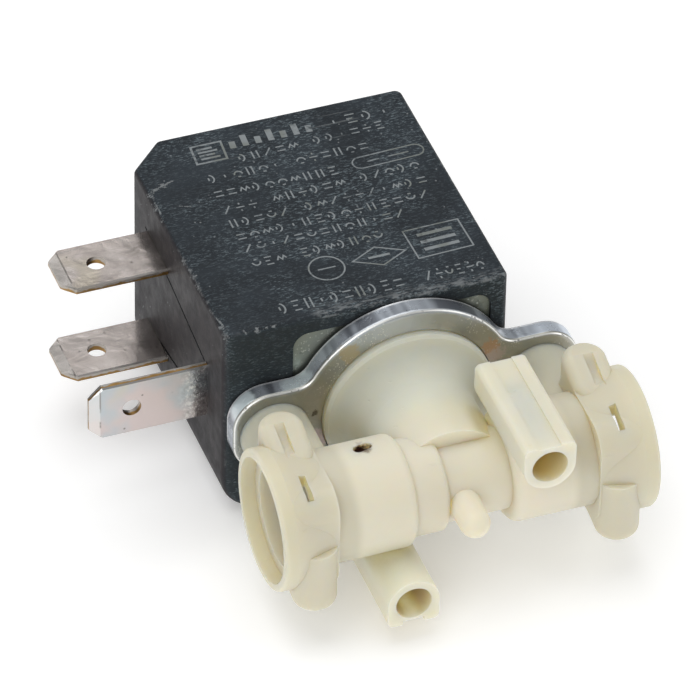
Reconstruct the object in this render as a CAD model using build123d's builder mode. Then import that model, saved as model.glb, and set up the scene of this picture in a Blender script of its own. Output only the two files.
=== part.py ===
from build123d import *
import math
import os

os.makedirs("parts", exist_ok=True)

# Direct-acting two-way solenoid valve, millimetres.
# The origin is the centre of the mounting face: midway between the two screw-boss ends.
# X runs along the flow tube, +Y points back along the plunger axis into the coil, +Z is up.

# flow tube and its two quick-fit sockets
tube_y = 8.7                # the flow axis crosses the plunger axis here
mid_tube_r = 4.1
neck_edge_r = 1.0
neck_r = 5.55
neck_inner_x = 4.9
collar_r = 4.78             # the inlet side steps down through a collar
collar_inner_x = 1.5
collar_edge_r = 0.62
housing_inner_x = 13.2
housing_outer_x = 17.6
housing_half = 5.7
housing_corner_r = 2.6
lug_reach = {1: 7.4, -1: 7.0}   # tall end of a clip lug, above and below the flow axis
lug_low = 5.9               # height of its low end, where it runs out into the housing
lug_end = 7.0               # the tall end, ahead of or behind the flow axis
lug_length = 7.0
lug_edge_r = 1.0
clip_slot_w = 0.7
clip_slot_l = 2.8
clip_slot_x = 15.7
clip_slot_offset = 3.1      # slot centre, ahead of or behind the flow axis
clip_dent_w = 1.0           # shallow dent for the clip's bow across each lug
clip_dent_r = 3.4
clip_dent_offset = 2.2      # its middle, behind or ahead of the flow axis
clip_dent_floor = 6.2
rim_outer_x = 19.0
rim_r = 7.0
rim_edge_r = 0.35
flare_inner_x = 13.4        # the housing widens into the rim from here
flare_r = 5.7
mouth_r = 6.2
mouth_depth = 1.5
spigot_r = 5.0              # seal land behind the mouth
spigot_inner_x = 14.2
socket_r = 4.0
socket_inner_x = 8.2
passage_r = 1.6

# bonnet, valve chamber and seat
bonnet_r = 8.7
bonnet_neck_r = 5.75
bonnet_face_y = 19.5
bonnet_edge = 0.3
bonnet_sweep = 1.0          # depth of the sweep a third of the way in from the neck
bonnet_neck_y = 16.2
chamber_r = 5.0
chamber_floor_y = 14.1
seat_top_y = 15.9
seat_r = 2.4
seat_land = 0.35            # width of the flat lip round the orifice
seat_slope = 0.9
orifice_r = 1.35
inlet_riser_x = -3.7
inlet_riser_r = 1.0

# mounting screw bosses
boss_x = 6.7
boss_z = 6.7
boss_r = 2.6                # round side, towards the flow tube
boss_foot = 2.5             # flat side, away from the flow tube
boss_length = 13.4
boss_corner_r = 0.6
boss_pilot_r = 1.8
boss_pilot_depth = 10.0
boss_groove_w = 2.2
boss_groove_depth = {1: 0.15, -1: 0.5}   # upper and lower boss
gate_root_r = 1.75
gate_r = 1.5
gate_y = 1.9
notch_x = -8.6
notch_back = 1.0            # behind the flow axis
notch_turn = 15
notch_length = 2.0
notch_width = 1.1
notch_depth = 0.9

# clamp plate and its two screws
plate_front_y = 20.4
plate_t = 2.0
plate_back_y = plate_front_y + plate_t
plate_web_t = 1.0
plate_web_y = plate_back_y - plate_web_t
ring_r = 11.1
ring_bore_r = 8.8
ear_x = 13.6
ear_half = 4.6
ear_end_x = 17.7
ear_boss_r = 3.5
screw_r = 1.5
screw_head_r = 2.7
screw_length = 9.0
screw_head_t = 1.4
screw_cross_l = 2.6
screw_cross_w = 0.6
screw_cross_depth = 0.9
plate_corner_r = 3.6
plate_junction_r = 2.2
plate_rolled_r = 0.45
slip = 0.05                 # radial play of a piece dropped into its seat

# guide tube, fixed core and plunger
flange_t = 0.5
flange_r = 7.4
flange_y = plate_web_y - flange_t
guide_r = 4.55
guide_wall = 0.35
guide_bore_r = guide_r - guide_wall
oring_wire_r = 0.75
oring_groove_y = flange_y - 2 * oring_wire_r
oring_groove_r = chamber_r + 2 * oring_wire_r + 0.25
guide_end_gap = 0.6         # the core's shoulder stands this far out of the guide tube
plunger_r = 4.12
plunger_front_y = 16.3
plunger_back_y = 35.1
stroke = 1.6
air_gap = stroke + 0.1      # the core stops the plunger through a thin residual gap
core_face_y = plunger_back_y + air_gap
shading_r0 = 2.8
shading_r1 = 3.6
shading_depth = 1.0
plunger_edge = 0.4
plunger_flat = 0.4          # depth of the two side flats
seal_r = 2.9
seal_face_y = seat_top_y + slip
seal_edge = 0.3
seal_back_y = 17.7
spring_bore_r = 2.4
spring_floor_y = 27.0
spring_mean_r = 1.95
spring_wire_r = 0.3
spring_turns = 6

# encapsulated coil
coil_gap = 0.1              # running gap that lets the coil be turned on the guide tube
coil_front_y = plate_back_y + coil_gap
coil_length = 30.4
coil_back_y = coil_front_y + coil_length
coil_left_x = -18.0
coil_right_x = 11.0
coil_half_h = 11.4
window_left_x = -11.0
window_right_x = 9.2
window_half_h = 9.6
window_recess = 0.3
window_corner_r = 1.6
coil_chamfer = 3.6
coil_bottom_r = 4.2
coil_side_r = 0.8
coil_top_r = 0.6
seam_w = 0.25              # seams above and below the terminal block on the left face
seam_depth = 0.4
seam_margin = 0.5
yoke_t = 1.8
yoke_front_y = coil_front_y + window_recess
yoke_back_y = coil_back_y - window_recess
sleeve_bore_r = guide_r + coil_gap
sleeve_r = 5.6
sleeve_length = 6.0
bobbin_bore_r = sleeve_bore_r
bobbin_tube_r = 6.3
bobbin_flange_r = 8.6
bobbin_flange_t = 1.0
winding_r = 8.3

# push-on blade terminals
blade_width = 6.3
blade_t = 0.8
blade_length = 10.6
earth_length = 12.0
blade_hole_r = 0.95
blade_edge = 0.15            # coined edge round the broad faces
blade_tip_cut = 1.3
blade_bevel_l = 1.1         # lead-in bevel on both broad faces at the tip
blade_bevel_t = 0.2
blade_hole_inset = 4.3
blade_root_x = -12.4
blade_y = 42.1
blade_pitch = 11.1
blade_mid_z = 0.9
earth_y = 27.6

# nut stack behind the coil
washer_r = 6.2
washer_t = 0.8
stud_r = 3.0
stud_end_y = 58.0
stud_edge = 0.5
nut_across_flats = 10.0
nut_t = 4.0
nut_rounding_r = 5.4        # radius at which the corner rounding starts on each end face
nut_rounding = 0.6
washer_y = yoke_back_y + coil_gap
nut_y = washer_y + washer_t
core_end_y = washer_y


def facing(y):
    """Sketch plane across the plunger axis at y: local x is X, local y is Z."""
    return Plane.XZ.offset(-y)


def across_flow(x):
    """Sketch plane across the flow axis at x: local x is Y, local y is Z."""
    return Plane.YZ.offset(x)


def turned(points):
    """A solid turned about the plunger axis from a closed outline of (radius, y) points."""
    with BuildPart() as piece:
        with BuildSketch(Plane.XY):
            with BuildLine():
                Polyline(*points, close=True)
            make_face()
        revolve(axis=Axis.Y)
    return piece


def tube_between(y0, y1, bore_r, outer_r):
    """A plain ring or tube on the plunger axis."""
    return turned([(bore_r, y0), (outer_r, y0), (outer_r, y1), (bore_r, y1)])


def keep(name, piece):
    """Label a finished piece and write it."""
    piece.part.label = name
    export_step(piece.part, "parts/" + name + ".step")


# ---------------------------------------------------------------- valve body
rotations = [-1, 1]
boss_centres = [(s * boss_x, s * boss_z) for s in rotations]
ear_centres = [(s * ear_x, 0) for s in rotations]

with BuildPart() as valve_body:
    # stepped flow tube
    with BuildSketch(across_flow(-neck_inner_x - 1)):
        with Locations((tube_y, 0)):
            Circle(mid_tube_r)
    extrude(amount=2 * neck_inner_x + 2)
    for side in rotations:
        with BuildSketch(across_flow(side * neck_inner_x)):
            with Locations((tube_y, 0)):
                Circle(neck_r)
        extrude(amount=side * (housing_outer_x - neck_inner_x))
    neck_ends = valve_body.edges().filter_by(GeomType.CIRCLE)
    neck_ends = [e for e in neck_ends if abs(abs(e.center().X) - neck_inner_x) < 0.01]
    fillet([e for e in neck_ends if e.radius > mid_tube_r + 0.1], radius=neck_edge_r)
    with BuildSketch(across_flow(-neck_inner_x - neck_edge_r)):
        with Locations((tube_y, 0)):
            Circle(collar_r)
    extrude(amount=neck_inner_x + neck_edge_r - collar_inner_x)
    collar_ends = valve_body.edges().filter_by(GeomType.CIRCLE)
    collar_ends = [e for e in collar_ends if abs(e.center().X + collar_inner_x) < 0.01]
    fillet([e for e in collar_ends if e.radius > mid_tube_r + 0.1], radius=collar_edge_r)
    # clip housings: a rounded block on each socket
    for side in rotations:
        with BuildSketch(across_flow(side * housing_inner_x)):
            with Locations((tube_y, 0)):
                RectangleRounded(2 * housing_half, 2 * housing_half, housing_corner_r)
        extrude(amount=side * (housing_outer_x - housing_inner_x))
        # one lug stands up behind the flow axis, the other hangs down ahead of it;
        # each slopes from its tall outer end to the housing
        centre_x = side * (housing_inner_x + housing_outer_x) / 2
        lug_width = housing_outer_x - housing_inner_x
        for way in rotations:
            with BuildPart() as lug:
                with BuildSketch(Plane.XY):
                    with Locations((centre_x, tube_y + way * (lug_end - lug_length / 2))):
                        SlotOverall(lug_length, lug_width, rotation=90)
                extrude(amount=way * lug_reach[way])
                with BuildSketch(across_flow(centre_x)):
                    with BuildLine():
                        Polyline(
                            (tube_y, way * lug_low),
                            (tube_y + way * (lug_end - lug_width / 2), way * lug_reach[way]),
                            (tube_y, way * lug_reach[way]),
                            close=True,
                        )
                    make_face()
                extrude(amount=lug_width, both=True, mode=Mode.SUBTRACT)
                lug_faces = lug.faces().sort_by(Axis.Z, reverse=way > 0)
                lug_top_edges = [e for f in lug_faces[:2] for e in f.edges()]
                lug_top_edges = [e for e in lug_top_edges if e.geom_type != GeomType.LINE]
                fillet(lug_top_edges, radius=lug_edge_r)
    # socket rims, each flaring out of its housing
    flow_axis = Axis((0, tube_y, 0), (1, 0, 0))
    for side in rotations:
        with BuildSketch(Plane.XY):
            with BuildLine():
                Polyline(
                    (side * flare_inner_x, tube_y),
                    (side * flare_inner_x, tube_y + flare_r),
                    (side * housing_outer_x, tube_y + rim_r),
                    (side * rim_outer_x, tube_y + rim_r),
                    (side * rim_outer_x, tube_y),
                    close=True,
                )
            make_face()
        revolve(axis=flow_axis)
    rims = valve_body.edges().filter_by(GeomType.CIRCLE)
    rims = [e for e in rims if abs(abs(e.center().X) - rim_outer_x) < 0.01]
    fillet(rims, radius=rim_edge_r)
    # bosses for the clamp screws
    with BuildSketch(facing(plate_front_y)):
        with Locations(*ear_centres):
            Circle(ear_boss_r)
    extrude(amount=plate_front_y - tube_y)
    # bonnet: a disc that fills the clamp ring, swept down to a round neck
    with BuildSketch(Plane.XY):
        with BuildLine():
            Polyline(
                (0, tube_y),
                (0, plate_web_y),
                (bonnet_r, plate_web_y),
                (bonnet_r, bonnet_face_y + bonnet_edge),
                (bonnet_r - bonnet_edge, bonnet_face_y),
            )
            bonnet_arc_r = (bonnet_r - bonnet_edge + 2 * bonnet_neck_r) / 3
            ThreePointArc(
                (bonnet_r - bonnet_edge, bonnet_face_y),
                (bonnet_arc_r, bonnet_face_y - bonnet_sweep),
                (bonnet_neck_r, bonnet_neck_y),
            )
            Polyline((bonnet_neck_r, bonnet_neck_y), (bonnet_neck_r, tube_y), (0, tube_y))
        make_face()
    revolve(axis=Axis.Y)
    # mounting screw bosses, diagonally opposite: round towards the tube, grooved foot away from it
    with BuildSketch(facing(0)) as boss_outline:
        with Locations(*boss_centres):
            Circle(boss_r)
        for s in rotations:
            with Locations((s * boss_x, s * (boss_z + boss_foot / 2))):
                Rectangle(2 * boss_r, boss_foot)
        feet = [v for v in boss_outline.vertices() if abs(v.Y) > boss_z + boss_foot - 0.01]
        fillet(feet, radius=boss_corner_r)
        for s in rotations:
            with Locations((s * boss_x, s * (boss_z + boss_foot))):
                Rectangle(boss_groove_w, 2 * boss_groove_depth[s], mode=Mode.SUBTRACT)
    extrude(amount=-boss_length)
    # round-ended gate stub on the front of the tube
    with BuildSketch(Plane.XY):
        with BuildLine():
            Polyline((0, gate_y - gate_r), (0, tube_y), (gate_root_r, tube_y), (gate_r, gate_y))
            RadiusArc((gate_r, gate_y), (0, gate_y - gate_r), gate_r)
        make_face()
    revolve(axis=Axis.Y)

    # sockets and flow passages
    for side in rotations:
        steps = (
            (rim_outer_x - mouth_depth, mouth_r),
            (spigot_inner_x, spigot_r),
            (socket_inner_x, socket_r),
        )
        for inner_x, radius in steps:
            with BuildSketch(across_flow(side * rim_outer_x)):
                with Locations((tube_y, 0)):
                    Circle(radius)
            extrude(amount=-side * (rim_outer_x - inner_x), mode=Mode.SUBTRACT)
        passage_end = -inlet_riser_x - inlet_riser_r if side < 0 else 0
        with BuildSketch(across_flow(side * socket_inner_x)):
            with Locations((tube_y, 0)):
                Circle(passage_r)
        extrude(amount=-side * (socket_inner_x - passage_end), mode=Mode.SUBTRACT)
        # slot for the clip leg on one side of the axis, and a round-bottomed dent on the other
        for way in rotations:
            with BuildSketch(Plane.XY):
                with Locations((side * clip_slot_x, tube_y - way * clip_slot_offset)):
                    Rectangle(clip_slot_w, clip_slot_l)
            extrude(amount=way * rim_r, mode=Mode.SUBTRACT)
            with BuildSketch(across_flow(side * clip_slot_x)):
                with Locations((tube_y + way * clip_dent_offset, way * (clip_dent_floor + clip_dent_r))):
                    Circle(clip_dent_r)
            extrude(amount=clip_dent_w / 2, both=True, mode=Mode.SUBTRACT)
    # chamber, ring groove and flange recess
    with BuildSketch(Plane.XY):
        with BuildLine():
            Polyline(
                (seat_r, chamber_floor_y),
                (chamber_r, chamber_floor_y),
                (chamber_r, oring_groove_y),
                (oring_groove_r, oring_groove_y),
                (oring_groove_r, flange_y),
                (flange_r + slip, flange_y),
                (flange_r + slip, plate_web_y),
                (0, plate_web_y),
                (0, seat_top_y),
                (orifice_r + seat_land, seat_top_y),
                (seat_r, seat_top_y - seat_slope),
                close=True,
            )
        make_face()
    revolve(axis=Axis.Y, mode=Mode.SUBTRACT)
    with BuildSketch(facing(seat_top_y)):
        Circle(orifice_r)
    extrude(amount=seat_top_y - tube_y, mode=Mode.SUBTRACT)
    with BuildSketch(facing(chamber_floor_y)):
        with Locations((inlet_riser_x, 0)):
            Circle(inlet_riser_r)
    extrude(amount=chamber_floor_y - tube_y, mode=Mode.SUBTRACT)
    # pilot holes for the clamp screws
    with BuildSketch(facing(plate_front_y)):
        with Locations(*ear_centres):
            Circle(screw_r)
    extrude(amount=screw_length - plate_t, mode=Mode.SUBTRACT)
    # pilot holes for the mounting screws
    with BuildSketch(facing(0)):
        with Locations(*boss_centres):
            Circle(boss_pilot_r)
    extrude(amount=-boss_pilot_depth, mode=Mode.SUBTRACT)
    # small test notch on the left neck
    with BuildSketch(Plane.XY.offset(neck_r)):
        with Locations((notch_x, tube_y + notch_back)):
            SlotOverall(notch_length, notch_width, rotation=notch_turn)
    extrude(amount=-notch_depth, mode=Mode.SUBTRACT)
keep("valve_body", valve_body)

# ---------------------------------------------------------------- clamp plate and screws
with BuildPart() as clamp_plate:
    with BuildSketch(facing(plate_back_y)) as outline:
        Circle(ring_r)
        Rectangle(2 * ear_end_x, 2 * ear_half)
        corners = [v for v in outline.vertices() if abs(abs(v.X) - ear_end_x) < 0.01]
        fillet(corners, radius=plate_corner_r)
        junctions = [v for v in outline.vertices() if math.hypot(v.X, v.Y) < ring_r + 0.1]
        fillet(junctions, radius=plate_junction_r)
    extrude(amount=plate_t)
    rolled = clamp_plate.faces().filter_by(Axis.Y).sort_by(Axis.Y)[0]
    fillet(rolled.edges(), radius=plate_rolled_r)
    with BuildSketch(facing(plate_web_y)):
        Circle(ring_bore_r)
    extrude(amount=plate_t, mode=Mode.SUBTRACT)
    with BuildSketch(facing(plate_back_y)):
        Circle(guide_r + slip)
    extrude(amount=plate_t, mode=Mode.SUBTRACT)
    # countersunk screw holes, opened from the coil side
    with BuildSketch(facing(plate_back_y)):
        with Locations(*ear_centres):
            Circle(screw_r)
    extrude(amount=plate_t, mode=Mode.SUBTRACT)
    for centre in ear_centres:
        with BuildSketch(facing(plate_back_y)):
            with Locations(centre):
                Circle(screw_head_r)
        with BuildSketch(facing(plate_back_y - screw_head_t)):
            with Locations(centre):
                Circle(screw_r)
        loft(mode=Mode.SUBTRACT)
keep("clamp_plate", clamp_plate)

with BuildPart() as clamp_screws:
    for centre in ear_centres:
        with BuildSketch(facing(plate_back_y)):
            with Locations(centre):
                Circle(screw_head_r)
        with BuildSketch(facing(plate_back_y - screw_head_t)):
            with Locations(centre):
                Circle(screw_r)
        loft()
    with BuildSketch(facing(plate_back_y - screw_head_t)):
        with Locations(*ear_centres):
            Circle(screw_r)
    extrude(amount=screw_length - screw_head_t)
    # cross recess in each head
    with BuildSketch(facing(plate_back_y)):
        with Locations(*ear_centres):
            Rectangle(screw_cross_l, screw_cross_w)
            Rectangle(screw_cross_w, screw_cross_l)
    extrude(amount=screw_cross_depth, mode=Mode.SUBTRACT)
keep("clamp_screws", clamp_screws)

# ---------------------------------------------------------------- guide tube, core and plunger
keep("guide_tube", turned([
    (guide_bore_r, flange_y),
    (flange_r, flange_y),
    (flange_r, plate_web_y),
    (guide_r, plate_web_y),
    (guide_r, core_end_y - guide_end_gap),
    (guide_bore_r, core_end_y - guide_end_gap),
]))

with BuildPart() as guide_o_ring:
    with BuildSketch(Plane.XY):
        with Locations(((chamber_r + oring_groove_r) / 2, oring_groove_y + oring_wire_r)):
            Circle(oring_wire_r)
    revolve(axis=Axis.Y)
keep("guide_o_ring", guide_o_ring)

with BuildPart() as fixed_core:
    with BuildSketch(Plane.XY):
        with BuildLine():
            Polyline(
                (0, core_face_y),
                (guide_bore_r, core_face_y),
                (guide_bore_r, core_end_y),
                (stud_r, core_end_y),
                (stud_r, stud_end_y - stud_edge),
                (stud_r - stud_edge, stud_end_y),
                (0, stud_end_y),
                close=True,
            )
        make_face()
    revolve(axis=Axis.Y)
    with BuildSketch(facing(core_face_y)):
        Circle(shading_r1)
        Circle(shading_r0, mode=Mode.SUBTRACT)
    extrude(amount=-shading_depth, mode=Mode.SUBTRACT)
keep("fixed_core", fixed_core)

keep("shading_ring", tube_between(core_face_y, core_face_y + shading_depth, shading_r0, shading_r1))

with BuildPart() as plunger:
    with BuildSketch(facing(plunger_front_y)):
        Circle(plunger_r)
    extrude(amount=-(plunger_back_y - plunger_front_y))
    chamfer(plunger.edges().filter_by(GeomType.CIRCLE), length=plunger_edge)
    with BuildSketch(facing(plunger_front_y)):
        Circle(seal_r)
    extrude(amount=-(seal_back_y - plunger_front_y), mode=Mode.SUBTRACT)
    with BuildSketch(facing(plunger_back_y)):
        Circle(spring_bore_r)
    extrude(amount=plunger_back_y - spring_floor_y, mode=Mode.SUBTRACT)
    # two flats along the sides let fluid past the plunger
    with BuildSketch(facing(plunger_front_y)):
        with Locations((plunger_r, 0), (-plunger_r, 0)):
            Rectangle(2 * plunger_flat, 2 * plunger_r)
    extrude(amount=-(plunger_back_y - plunger_front_y), mode=Mode.SUBTRACT)
keep("plunger", plunger)

keep("plunger_seal", turned([
    (0, seal_face_y),
    (seal_r - seal_edge, seal_face_y),
    (seal_r, seal_face_y + seal_edge),
    (seal_r, seal_back_y),
    (0, seal_back_y),
]))

spring_length = core_face_y - spring_floor_y - 2 * spring_wire_r
with BuildPart() as plunger_spring:
    with BuildLine():
        coil_line = Helix(
            pitch=spring_length / spring_turns,
            height=spring_length,
            radius=spring_mean_r,
            center=(0, spring_floor_y + spring_wire_r, 0),
            direction=(0, 1, 0),
        )
    with BuildSketch(Plane(origin=coil_line @ 0, z_dir=coil_line % 0)):
        Circle(spring_wire_r)
    sweep()
keep("plunger_spring", plunger_spring)

# ---------------------------------------------------------------- nut stack
keep("spring_washer", tube_between(washer_y, nut_y, stud_r, washer_r))

with BuildPart() as coil_nut:
    with BuildSketch(facing(nut_y)):
        RegularPolygon(nut_across_flats / 2, 6, major_radius=False)
        Circle(stud_r, mode=Mode.SUBTRACT)
    extrude(amount=-nut_t)
    with BuildSketch(Plane.XY):
        with BuildLine():
            Polyline(
                (0, nut_y),
                (nut_rounding_r, nut_y),
                (nut_rounding_r + nut_rounding, nut_y + nut_rounding),
                (nut_rounding_r + nut_rounding, nut_y + nut_t - nut_rounding),
                (nut_rounding_r, nut_y + nut_t),
                (0, nut_y + nut_t),
                close=True,
            )
        make_face()
    revolve(axis=Axis.Y, mode=Mode.INTERSECT)
keep("coil_nut", coil_nut)

# ---------------------------------------------------------------- coil
window_x = (window_left_x + window_right_x) / 2
window_w = window_right_x - window_left_x

with BuildPart() as yoke_frame:
    with BuildSketch(facing(yoke_front_y)):
        with Locations((window_x, 0)):
            RectangleRounded(window_w, 2 * window_half_h, window_corner_r)
    extrude(amount=-(yoke_back_y - yoke_front_y))
    # open the strap inside its front, left and back walls
    with BuildSketch(Plane.XY.offset(-coil_half_h)):
        with Locations((window_x + yoke_t, (yoke_front_y + yoke_back_y) / 2)):
            Rectangle(window_w, yoke_back_y - yoke_front_y - 2 * yoke_t)
    extrude(amount=2 * coil_half_h, mode=Mode.SUBTRACT)
    with BuildSketch(facing(yoke_front_y)):
        Circle(sleeve_r)
    extrude(amount=-(yoke_back_y - yoke_front_y), mode=Mode.SUBTRACT)
keep("yoke_frame", yoke_frame)

bobbin_front_y = yoke_front_y + yoke_t
bobbin_back_y = yoke_back_y - yoke_t
sleeves = {
    "front_flux_sleeve": (yoke_front_y, yoke_front_y + sleeve_length),
    "rear_flux_sleeve": (yoke_back_y - sleeve_length, yoke_back_y),
}
for name, (y0, y1) in sleeves.items():
    keep(name, tube_between(y0, y1, sleeve_bore_r, sleeve_r))

keep("coil_bobbin", turned([
    (sleeve_r, bobbin_front_y),
    (bobbin_flange_r, bobbin_front_y),
    (bobbin_flange_r, bobbin_front_y + bobbin_flange_t),
    (bobbin_tube_r, bobbin_front_y + bobbin_flange_t),
    (bobbin_tube_r, bobbin_back_y - bobbin_flange_t),
    (bobbin_flange_r, bobbin_back_y - bobbin_flange_t),
    (bobbin_flange_r, bobbin_back_y),
    (sleeve_r, bobbin_back_y),
    (sleeve_r, yoke_back_y - sleeve_length),
    (bobbin_bore_r, yoke_back_y - sleeve_length),
    (bobbin_bore_r, yoke_front_y + sleeve_length),
    (sleeve_r, yoke_front_y + sleeve_length),
]))

winding_y0 = bobbin_front_y + bobbin_flange_t
winding_y1 = bobbin_back_y - bobbin_flange_t
keep("coil_winding", tube_between(winding_y0, winding_y1, bobbin_tube_r, winding_r))
keep("winding_tape", tube_between(winding_y0, winding_y1, winding_r, bobbin_flange_r))


def flat_blade(z):
    """A blade terminal lying flat, its broad faces up and down, with its middle at z."""
    tip_x = coil_left_x - blade_length
    with BuildPart() as blade:
        with BuildSketch(Plane.XY.offset(z - blade_t / 2)):
            with Locations(((tip_x + blade_root_x) / 2, blade_y)):
                Rectangle(blade_root_x - tip_x, blade_width)
        extrude(amount=blade_t)
        tip_edges = blade.edges().filter_by(Axis.Z).group_by(Axis.X)[0]
        chamfer(tip_edges, length=blade_tip_cut)
        faces = blade.faces().filter_by(Axis.Z)
        rim_edges = [e for f in faces for e in f.edges() if e.center().X < coil_left_x]
        chamfer(rim_edges, length=blade_edge)
        for way in rotations:
            with BuildSketch(facing(blade_y)):
                with BuildLine():
                    Polyline(
                        (tip_x, z + way * (blade_t / 2 - blade_bevel_t)),
                        (tip_x + blade_bevel_l, z + way * blade_t / 2),
                        (tip_x, z + way * blade_t / 2),
                        close=True,
                    )
                make_face()
            extrude(amount=blade_width, both=True, mode=Mode.SUBTRACT)
        with BuildSketch(Plane.XY.offset(z - blade_t / 2)):
            with Locations((tip_x + blade_hole_inset, blade_y)):
                Circle(blade_hole_r)
        extrude(amount=blade_t, mode=Mode.SUBTRACT)
    return blade


line_terminal = flat_blade(blade_mid_z + blade_pitch / 2)
neutral_terminal = flat_blade(blade_mid_z - blade_pitch / 2)
keep("line_terminal", line_terminal)
keep("neutral_terminal", neutral_terminal)

earth_tip_x = coil_left_x - earth_length
with BuildPart() as earth_terminal:
    with BuildSketch(facing(earth_y)):
        with Locations(((earth_tip_x + blade_root_x) / 2, blade_mid_z)):
            Rectangle(blade_root_x - earth_tip_x, blade_width)
    extrude(amount=blade_t / 2, both=True)
    tip_edges = earth_terminal.edges().filter_by(Axis.Y).group_by(Axis.X)[0]
    chamfer(tip_edges, length=blade_tip_cut)
    faces = earth_terminal.faces().filter_by(Axis.Y)
    rim_edges = [e for f in faces for e in f.edges() if e.center().X < coil_left_x]
    chamfer(rim_edges, length=blade_edge)
    for way in rotations:
        with BuildSketch(Plane.XY.offset(blade_mid_z)):
            with BuildLine():
                Polyline(
                    (earth_tip_x, earth_y + way * (blade_t / 2 - blade_bevel_t)),
                    (earth_tip_x + blade_bevel_l, earth_y + way * blade_t / 2),
                    (earth_tip_x, earth_y + way * blade_t / 2),
                    close=True,
                )
            make_face()
        extrude(amount=blade_width, both=True, mode=Mode.SUBTRACT)
    with BuildSketch(facing(earth_y)):
        with Locations((earth_tip_x + blade_hole_inset, blade_mid_z)):
            Circle(blade_hole_r)
    extrude(amount=blade_t / 2, both=True, mode=Mode.SUBTRACT)
keep("earth_terminal", earth_terminal)

with BuildPart() as coil_casing:
    with BuildSketch(facing(coil_front_y)):
        with Locations(((coil_left_x + coil_right_x) / 2, 0)):
            Rectangle(coil_right_x - coil_left_x, 2 * coil_half_h)
    extrude(amount=-coil_length)
    # a big chamfer on the rear left edge, large roundings under the block, small ones elsewhere
    rear_left = coil_casing.edges().filter_by(Axis.Z).group_by(Axis.X)[0].sort_by(Axis.Y)[-1]
    chamfer(rear_left, length=coil_chamfer)
    long_edges = coil_casing.edges().filter_by(Axis.Y)
    fillet(long_edges.group_by(Axis.Z)[0], radius=coil_bottom_r)
    fillet(coil_casing.edges().filter_by(Axis.Z), radius=coil_side_r)
    top_edges = coil_casing.faces().sort_by(Axis.Z)[-1].edges()
    fillet(top_edges, radius=coil_top_r)
    # the terminal block's two seams, which close in towards the earth blade
    seam_back_y = blade_y + blade_width / 2 + seam_margin
    seam_front_y = earth_y + seam_margin
    back_reach = blade_pitch / 2 + seam_margin
    front_reach = blade_width / 2
    for side in (1, -1):
        with BuildSketch(across_flow(coil_left_x)):
            with BuildLine():
                Polyline(
                    (seam_back_y, blade_mid_z + side * back_reach),
                    (seam_front_y, blade_mid_z + side * front_reach),
                    (seam_front_y, blade_mid_z + side * (front_reach - seam_w)),
                    (seam_back_y, blade_mid_z + side * (back_reach - seam_w)),
                    close=True,
                )
            make_face()
        extrude(amount=seam_depth, mode=Mode.SUBTRACT)
    # the space taken by the yoke, winding and terminals
    with BuildSketch(facing(coil_front_y)):
        with Locations((window_x, 0)):
            RectangleRounded(window_w, 2 * window_half_h, window_corner_r)
    extrude(amount=-(window_recess + yoke_t), mode=Mode.SUBTRACT)
    with BuildSketch(facing(coil_back_y)):
        with Locations((window_x, 0)):
            RectangleRounded(window_w, 2 * window_half_h, window_corner_r)
    extrude(amount=window_recess + yoke_t, mode=Mode.SUBTRACT)
    with BuildSketch(facing(coil_front_y)):
        with Locations((window_x, 0)):
            RectangleRounded(window_w, 2 * window_half_h, window_corner_r)
        with Locations((window_x + yoke_t, 0)):
            Rectangle(window_w, 2 * coil_half_h, mode=Mode.SUBTRACT)
    extrude(amount=-coil_length, mode=Mode.SUBTRACT)
    with BuildSketch(facing(coil_front_y)):
        Circle(bobbin_flange_r)
    extrude(amount=-coil_length, mode=Mode.SUBTRACT)
    for blade in (line_terminal, neutral_terminal, earth_terminal):
        add(blade.part, mode=Mode.SUBTRACT)
keep("coil_casing", coil_casing)
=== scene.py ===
import bpy
import math
import random
from mathutils import Matrix, Vector


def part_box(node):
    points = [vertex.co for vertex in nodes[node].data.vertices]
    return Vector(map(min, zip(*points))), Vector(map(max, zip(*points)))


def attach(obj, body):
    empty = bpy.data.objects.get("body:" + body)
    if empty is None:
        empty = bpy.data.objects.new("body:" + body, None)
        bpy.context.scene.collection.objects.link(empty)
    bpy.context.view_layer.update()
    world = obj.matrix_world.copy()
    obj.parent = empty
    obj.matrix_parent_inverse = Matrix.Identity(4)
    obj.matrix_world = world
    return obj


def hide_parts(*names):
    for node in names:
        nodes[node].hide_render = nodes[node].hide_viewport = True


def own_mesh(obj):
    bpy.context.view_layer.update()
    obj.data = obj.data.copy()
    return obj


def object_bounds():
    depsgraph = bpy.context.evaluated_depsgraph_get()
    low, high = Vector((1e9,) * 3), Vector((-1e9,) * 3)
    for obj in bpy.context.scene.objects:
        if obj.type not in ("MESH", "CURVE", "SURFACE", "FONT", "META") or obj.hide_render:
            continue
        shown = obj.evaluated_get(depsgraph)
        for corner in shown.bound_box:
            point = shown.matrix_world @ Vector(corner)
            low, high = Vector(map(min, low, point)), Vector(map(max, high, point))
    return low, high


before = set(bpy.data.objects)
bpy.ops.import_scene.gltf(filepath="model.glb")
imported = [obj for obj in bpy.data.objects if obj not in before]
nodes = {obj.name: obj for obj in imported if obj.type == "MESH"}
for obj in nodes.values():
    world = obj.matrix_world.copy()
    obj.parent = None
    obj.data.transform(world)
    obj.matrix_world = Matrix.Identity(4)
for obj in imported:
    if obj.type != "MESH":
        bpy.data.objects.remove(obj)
cad_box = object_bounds()
MM = 0.001
PRINT_SEED = 11
random.seed(PRINT_SEED)

casing_lo, casing_hi = [Vector(c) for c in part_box("coil_casing")]
plate_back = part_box("clamp_plate")[1][1]

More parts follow.
